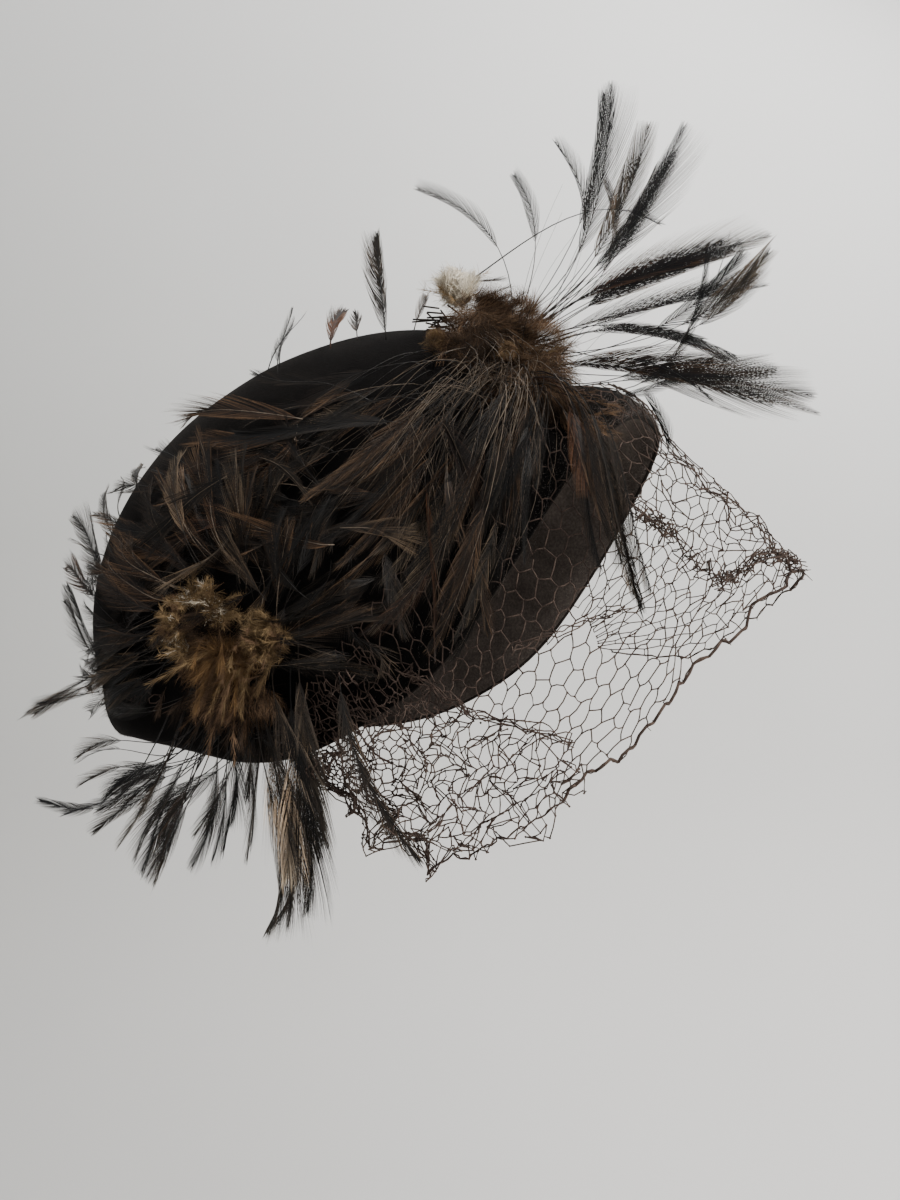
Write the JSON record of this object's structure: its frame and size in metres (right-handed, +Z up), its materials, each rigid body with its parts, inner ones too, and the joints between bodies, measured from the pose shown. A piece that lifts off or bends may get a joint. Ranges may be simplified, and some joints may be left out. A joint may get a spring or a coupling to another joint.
{
  "type": "feathered cocktail hat with a face veil",
  "caption": "Close-fitting felt cocktail hat that slopes down at the back, with a small arched visor, two bunches of hackle feathers on one side and a coarse net veil over the face.",
  "frame": {"origin": "the point inside the crown that the top of the wearer's head bears on", "axes": "+Z up, -Y the way the wearer faces, -X the wearer's right, where the feathers are"},
  "size_m": [0.2104, 0.322, 0.324],
  "materials": {
    "felt": "dark brown fur felt with a short nap",
    "net": "brown silk veiling, knotted thread",
    "pale_down": "fluffy tan and brown down",
    "dark_hackle": "dark brown-black hackle feathers with a soft sheen",
    "brown_hackle": "rust and brown hackle feathers with a soft sheen"
  },
  "bodies": {
    "root": {"felt_hat": "felt", "veil": "net", "front_tuft": "pale_down", "front_spray": "dark_hackle", "side_hackles": "brown_hackle", "back_tuft": "pale_down", "back_hackles": "dark_hackle", "hanging_plume": "dark_hackle"}
  },
  "joints": []
}
